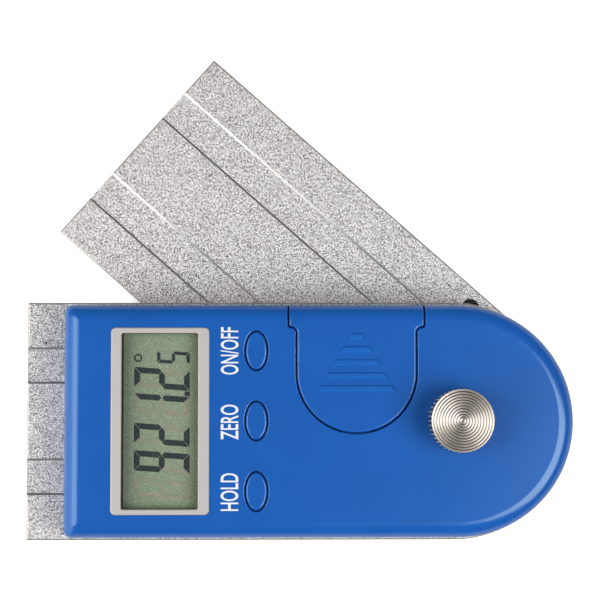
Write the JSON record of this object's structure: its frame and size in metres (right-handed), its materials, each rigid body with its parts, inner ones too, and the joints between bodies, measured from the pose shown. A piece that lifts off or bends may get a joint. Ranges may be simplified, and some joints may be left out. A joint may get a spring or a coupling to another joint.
{
  "type": "digital angle finder",
  "caption": "Digital angle finder: two flat grooved metal arms on one pivot, a case with display, keys and sliding battery cover on the upper arm, and a knurled locking knob.",
  "frame": {"origin": "on the pivot axis, in the plane of the moving arm's underside", "axes": "+Z out of the display along the pivot axis; the fixed arm runs from the pivot towards -X; +Y is the side the battery cover slides out of"},
  "size_m": [0.1149, 0.1032, 0.0314],
  "materials": {
    "arm_aluminium": "bead-blasted, bright grain",
    "shaft_steel": "turned",
    "knob_steel": "turned face, knurled side",
    "screw_steel": "zinc plated",
    "spring_steel": "oiled spring steel",
    "bushing_brass": "turned",
    "slip_plastic": "slippery white sheet",
    "rotor_board": "coated laminate",
    "case_blue": "satin moulded",
    "button_blue": "satin moulded",
    "bezel_silver": "silver lacquer",
    "lens_clear": "clear",
    "lcd_glass": "reflective display",
    "strip_rubber": "matt",
    "board_green": "solder mask",
    "chip_black": "moulded",
    "nickel": "nickel plated"
  },
  "bodies": {
    "fixed_body": {"fixed_arm": "arm_aluminium", "pivot_bushing": "bushing_brass", "disc_spring": "spring_steel", "base_cover": "case_blue", "top_cover": "case_blue", "case_screws": "screw_steel", "display_bezel": "bezel_silver", "display_lens": "lens_clear", "lcd_panel": "lcd_glass", "zebra_strips": "strip_rubber", "main_board": "board_green", "board_screws": "screw_steel", "controller_chip": "chip_black", "timing_crystal": "nickel", "tact_switches": "chip_black", "coin_cell": "nickel", "battery_holder": "chip_black", "battery_contact_negative": "nickel", "battery_contact_positive": "nickel", "knob_washer": "shaft_steel"},
    "moving_body": {"moving_arm": "arm_aluminium", "pivot_shaft": "shaft_steel", "hub_screws": "screw_steel", "arm_washer": "slip_plastic", "retaining_ring": "spring_steel", "rotor_disc": "rotor_board", "rotor_collar": "bushing_brass"},
    "knob_body": {"lock_knob": "knob_steel"},
    "hatch_body": {"battery_cover": "case_blue"},
    "power_body": {"button_power": "button_blue"},
    "zero_body": {"button_zero": "button_blue"},
    "hold_body": {"button_hold": "button_blue"}
  },
  "joints": [
    {"name": "arm_pivot", "type": "hinge", "parent": "fixed_body", "child": "moving_body", "pos_m": [0, 0, 0.00586], "axis": [0, 0, 1], "continuous": true},
    {"name": "knob_turn", "type": "hinge", "parent": "moving_body", "child": "knob_body", "pos_m": [0, 0, 0.0285], "axis": [0, 0, 1], "range_deg": [0, 180]},
    {"name": "hatch_slide", "type": "slide", "parent": "fixed_body", "child": "hatch_body", "axis": [0, 1, 0], "range_m": [0, 0.027]},
    {"name": "power_press", "type": "slide", "parent": "fixed_body", "child": "power_body", "axis": [0, 0, -1], "range_m": [0, 0.0004], "stiffness_N_per_m": 2000},
    {"name": "zero_press", "type": "slide", "parent": "fixed_body", "child": "zero_body", "axis": [0, 0, -1], "range_m": [0, 0.0004], "stiffness_N_per_m": 2000},
    {"name": "hold_press", "type": "slide", "parent": "fixed_body", "child": "hold_body", "axis": [0, 0, -1], "range_m": [0, 0.0004], "stiffness_N_per_m": 2000}
  ]
}
